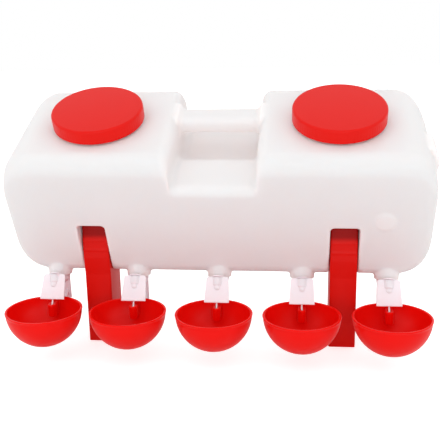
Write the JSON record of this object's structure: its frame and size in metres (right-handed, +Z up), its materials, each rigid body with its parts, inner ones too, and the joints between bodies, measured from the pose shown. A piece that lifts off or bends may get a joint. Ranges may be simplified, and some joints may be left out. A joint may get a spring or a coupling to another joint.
{
  "type": "poultry drinker",
  "caption": "Forward-leaning water tank with a recessed top handle and wide screw caps, standing on push-in legs, feeding a row of tipping bowls through sprung valves.",
  "frame": {"origin": "on the floor under the middle of the whole object", "axes": "+X along the tank to the user's right, +Y to the rear, +Z up; the bowls are at -Y"},
  "size_m": [0.4552, 0.2362, 0.2816],
  "materials": {
    "tank": "milky translucent blow-moulded polyethylene",
    "cap": "glossy moulded red, finely ribbed skirt",
    "leg": "glossy moulded red",
    "bowl": "glossy moulded red",
    "valve": "translucent white moulding",
    "rubber": "plain",
    "steel": "bright stainless wire and pin"
  },
  "bodies": {
    "tank": {"tank_shell": "tank", "valve_body_1": "valve", "nozzle_seal_1": "rubber", "valve_plug_1": "valve", "valve_spring_1": "steel", "hinge_pin_1": "steel", "valve_body_2": "valve", "nozzle_seal_2": "rubber", "valve_plug_2": "valve", "valve_spring_2": "steel", "hinge_pin_2": "steel", "valve_body_3": "valve", "nozzle_seal_3": "rubber", "valve_plug_3": "valve", "valve_spring_3": "steel", "hinge_pin_3": "steel", "valve_body_4": "valve", "nozzle_seal_4": "rubber", "valve_plug_4": "valve", "valve_spring_4": "steel", "hinge_pin_4": "steel", "valve_body_5": "valve", "nozzle_seal_5": "rubber", "valve_plug_5": "valve", "valve_spring_5": "steel", "hinge_pin_5": "steel"},
    "left_leg": {"left_leg": "leg"},
    "right_leg": {"right_leg": "leg"},
    "left_liner": {"left_cap_liner": "rubber"},
    "right_liner": {"right_cap_liner": "rubber"},
    "left_cap": {"left_cap": "cap"},
    "right_cap": {"right_cap": "cap"},
    "stem_1": {"valve_stem_1": "valve", "valve_washer_1": "rubber"},
    "bowl_1": {"bowl_1": "bowl"},
    "stem_2": {"valve_stem_2": "valve", "valve_washer_2": "rubber"},
    "bowl_2": {"bowl_2": "bowl"},
    "stem_3": {"valve_stem_3": "valve", "valve_washer_3": "rubber"},
    "bowl_3": {"bowl_3": "bowl"},
    "stem_4": {"valve_stem_4": "valve", "valve_washer_4": "rubber"},
    "bowl_4": {"bowl_4": "bowl"},
    "stem_5": {"valve_stem_5": "valve", "valve_washer_5": "rubber"},
    "bowl_5": {"bowl_5": "bowl"}
  },
  "joints": [
    {"name": "left_leg_pull", "type": "slide", "parent": "tank", "child": "left_leg", "axis": [0, 0, -1], "range_m": [0, 0.062]},
    {"name": "left_cap_rise", "type": "slide", "parent": "tank", "child": "left_liner", "axis": [0, -0.4067, 0.9135], "range_m": [0, 0.0211]},
    {"name": "left_cap_turn", "type": "hinge", "parent": "left_liner", "child": "left_cap", "pos_m": [-0.1296, -0.00974, 0.2467], "axis": [0, -0.4067, 0.9135], "range_deg": [0, 1260]},
    {"name": "right_leg_pull", "type": "slide", "parent": "tank", "child": "right_leg", "axis": [0, 0, -1], "range_m": [0, 0.062]},
    {"name": "right_cap_rise", "type": "slide", "parent": "tank", "child": "right_liner", "axis": [0, -0.4067, 0.9135], "range_m": [0, 0.0211]},
    {"name": "right_cap_turn", "type": "hinge", "parent": "right_liner", "child": "right_cap", "pos_m": [0.1264, -0.00974, 0.2467], "axis": [0, -0.4067, 0.9135], "range_deg": [0, 1260]},
    {"name": "bowl_1_tip", "type": "hinge", "parent": "tank", "child": "bowl_1", "pos_m": [-0.1836, -0.03602, 0.03824], "axis": [1, 0, 0], "range_deg": [0, 3], "stiffness_Nm_per_rad": 0.09, "springref_deg": -8.92},
    {"name": "stem_1_draw", "type": "slide", "parent": "tank", "child": "stem_1", "axis": [0, -0.5299, -0.848], "range_m": [0, 0.0011], "deforming": ["valve_spring_1"]},
    {"name": "bowl_2_tip", "type": "hinge", "parent": "tank", "child": "bowl_2", "pos_m": [-0.0926, -0.03602, 0.03824], "axis": [1, 0, 0], "range_deg": [0, 3], "stiffness_Nm_per_rad": 0.09, "springref_deg": -8.92},
    {"name": "stem_2_draw", "type": "slide", "parent": "tank", "child": "stem_2", "axis": [0, -0.5299, -0.848], "range_m": [0, 0.0011], "deforming": ["valve_spring_2"]},
    {"name": "bowl_3_tip", "type": "hinge", "parent": "tank", "child": "bowl_3", "pos_m": [-0.0016, -0.03602, 0.03824], "axis": [1, 0, 0], "range_deg": [0, 3], "stiffness_Nm_per_rad": 0.09, "springref_deg": -8.92},
    {"name": "stem_3_draw", "type": "slide", "parent": "tank", "child": "stem_3", "axis": [0, -0.5299, -0.848], "range_m": [0, 0.0011], "deforming": ["valve_spring_3"]},
    {"name": "bowl_4_tip", "type": "hinge", "parent": "tank", "child": "bowl_4", "pos_m": [0.0894, -0.03602, 0.03824], "axis": [1, 0, 0], "range_deg": [0, 3], "stiffness_Nm_per_rad": 0.09, "springref_deg": -8.92},
    {"name": "stem_4_draw", "type": "slide", "parent": "tank", "child": "stem_4", "axis": [0, -0.5299, -0.848], "range_m": [0, 0.0011], "deforming": ["valve_spring_4"]},
    {"name": "bowl_5_tip", "type": "hinge", "parent": "tank", "child": "bowl_5", "pos_m": [0.1804, -0.03602, 0.03824], "axis": [1, 0, 0], "range_deg": [0, 3], "stiffness_Nm_per_rad": 0.09, "springref_deg": -8.92},
    {"name": "stem_5_draw", "type": "slide", "parent": "tank", "child": "stem_5", "axis": [0, -0.5299, -0.848], "range_m": [0, 0.0011], "deforming": ["valve_spring_5"]}
  ],
  "couplings": [
    {"joint": "left_cap_rise", "follows": "left_cap_turn", "m_per_rad": 0.000955},
    {"joint": "right_cap_rise", "follows": "right_cap_turn", "m_per_rad": 0.000955},
    {"joint": "stem_1_draw", "follows": "bowl_1_tip", "m_per_rad": 0.0202},
    {"joint": "stem_2_draw", "follows": "bowl_2_tip", "m_per_rad": 0.0202},
    {"joint": "stem_3_draw", "follows": "bowl_3_tip", "m_per_rad": 0.0202},
    {"joint": "stem_4_draw", "follows": "bowl_4_tip", "m_per_rad": 0.0202},
    {"joint": "stem_5_draw", "follows": "bowl_5_tip", "m_per_rad": 0.0202}
  ]
}
